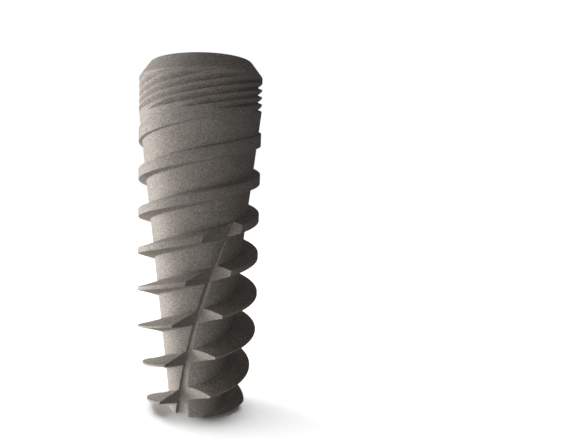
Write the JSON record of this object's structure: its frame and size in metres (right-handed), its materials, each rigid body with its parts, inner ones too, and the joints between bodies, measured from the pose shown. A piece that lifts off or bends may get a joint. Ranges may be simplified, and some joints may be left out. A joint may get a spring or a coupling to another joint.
{
  "type": "dental implant",
  "caption": "Tapered bone-level dental implant in matte titanium, with a coarse self-cutting bone thread, fine collar grooves, apical cutting flutes and an internal hexagon connection.",
  "frame": {"origin": "centre of the flat apex, the lowest point of the implant's axis", "axes": "+Z along the implant's axis from the apex to the platform; -Y is the front, where the first cutting flute shows"},
  "size_m": [0.004, 0.004, 0.0115],
  "materials": {
    "titanium": "matte blasted and etched titanium alloy, warm grey"
  },
  "bodies": {
    "root": {"implant_body": "titanium"}
  },
  "joints": []
}
